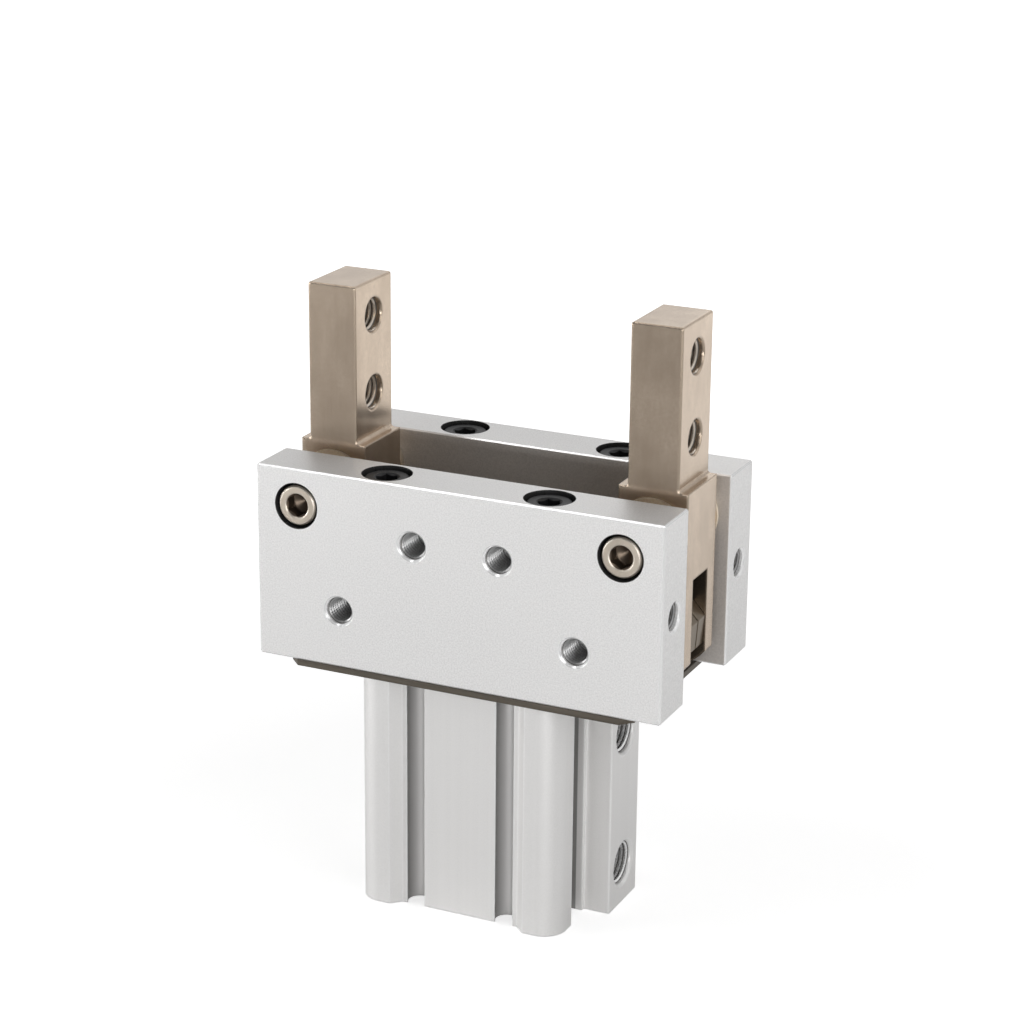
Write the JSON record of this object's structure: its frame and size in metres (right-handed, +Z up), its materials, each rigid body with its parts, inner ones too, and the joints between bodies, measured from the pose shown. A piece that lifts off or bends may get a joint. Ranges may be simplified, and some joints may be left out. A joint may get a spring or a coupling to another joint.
{
  "type": "toggle pneumatic gripper",
  "caption": "Toggle gripper: a compact cylinder lifts a crosshead whose links swing drilled fingers between tapped side plates.",
  "frame": {"origin": "middle of the cylinder's bottom face", "axes": "+X towards the finger above the air ports, +Y from the front plate to the rear plate, +Z up the rod"},
  "size_m": [0.125, 0.0664, 0.178],
  "materials": {
    "body_aluminium": "satin anodised extrusion",
    "cover_aluminium": "machined",
    "plate_aluminium": "fine blasted, clear anodised",
    "dark_steel": "dark, smooth",
    "black_steel": "black oxide",
    "nickel_screw": "nickel plated",
    "rod_chrome": "hard chrome, polished",
    "nickel_steel": "satin nickel plated",
    "link_steel": "satin nickel plated",
    "ground_steel": "ground",
    "bronze": "turned",
    "seal_rubber": "matt",
    "bumper_rubber": "matt",
    "magnet_grey": "matt",
    "wear_plastic": "matt"
  },
  "bodies": {
    "frame": {"cylinder_body": "body_aluminium", "rod_cover": "cover_aluminium", "side_plate_front": "plate_aluminium", "side_plate_rear": "plate_aluminium", "base_plate": "dark_steel", "plate_screws": "black_steel", "cover_snap_ring": "black_steel", "pivot_screw_left": "nickel_screw", "pivot_screw_right": "nickel_screw", "rod_bush": "bronze", "rod_seal": "seal_rubber", "cover_o_ring": "seal_rubber", "thrust_washer_left_front": "bronze", "spacer_collar_left_front": "nickel_screw", "thrust_washer_left_rear": "bronze", "spacer_collar_left_rear": "nickel_screw", "thrust_washer_right_front": "bronze", "spacer_collar_right_front": "nickel_screw", "thrust_washer_right_rear": "bronze", "spacer_collar_right_rear": "nickel_screw"},
    "crosshead": {"rod": "rod_chrome", "piston": "cover_aluminium", "piston_seal": "seal_rubber", "piston_magnet": "magnet_grey", "wear_ring": "wear_plastic", "lower_bumper": "bumper_rubber", "upper_bumper": "bumper_rubber", "crosshead": "nickel_steel", "crosshead_pin_left": "ground_steel", "crosshead_pin_right": "ground_steel"},
    "link_left": {"link_left_front": "link_steel", "link_left_rear": "link_steel"},
    "finger_left": {"finger_left": "nickel_steel", "finger_bush_left": "bronze", "finger_pin_left": "ground_steel"},
    "link_right": {"link_right_front": "link_steel", "link_right_rear": "link_steel"},
    "finger_right": {"finger_right": "nickel_steel", "finger_bush_right": "bronze", "finger_pin_right": "ground_steel"}
  },
  "joints": [
    {"name": "crosshead_slide", "type": "slide", "parent": "frame", "child": "crosshead", "axis": [0, 0, 1], "range_m": [0, 0.01859]},
    {"name": "link_left_pivot", "type": "hinge", "parent": "crosshead", "child": "link_left", "pos_m": [-0.02, 0, 0.08969], "axis": [0, -1, 0], "range_deg": [0, 37.54]},
    {"name": "finger_left_pivot", "type": "hinge", "parent": "frame", "child": "finger_left", "pos_m": [-0.04975, 0, 0.11849], "axis": [0, -1, 0], "range_deg": [0, 14]},
    {"name": "link_right_pivot", "type": "hinge", "parent": "crosshead", "child": "link_right", "pos_m": [0.02, 0, 0.08969], "axis": [0, 1, 0], "range_deg": [0, 37.54]},
    {"name": "finger_right_pivot", "type": "hinge", "parent": "frame", "child": "finger_right", "pos_m": [0.04975, 0, 0.11849], "axis": [0, 1, 0], "range_deg": [0, 14]}
  ],
  "couplings": [
    {"joint": "link_left_pivot", "follows": "crosshead_slide", "rad_per_m": 35.241},
    {"joint": "finger_left_pivot", "follows": "crosshead_slide", "rad_per_m": 13.144},
    {"joint": "link_right_pivot", "follows": "crosshead_slide", "rad_per_m": 35.241},
    {"joint": "finger_right_pivot", "follows": "crosshead_slide", "rad_per_m": 13.144}
  ]
}
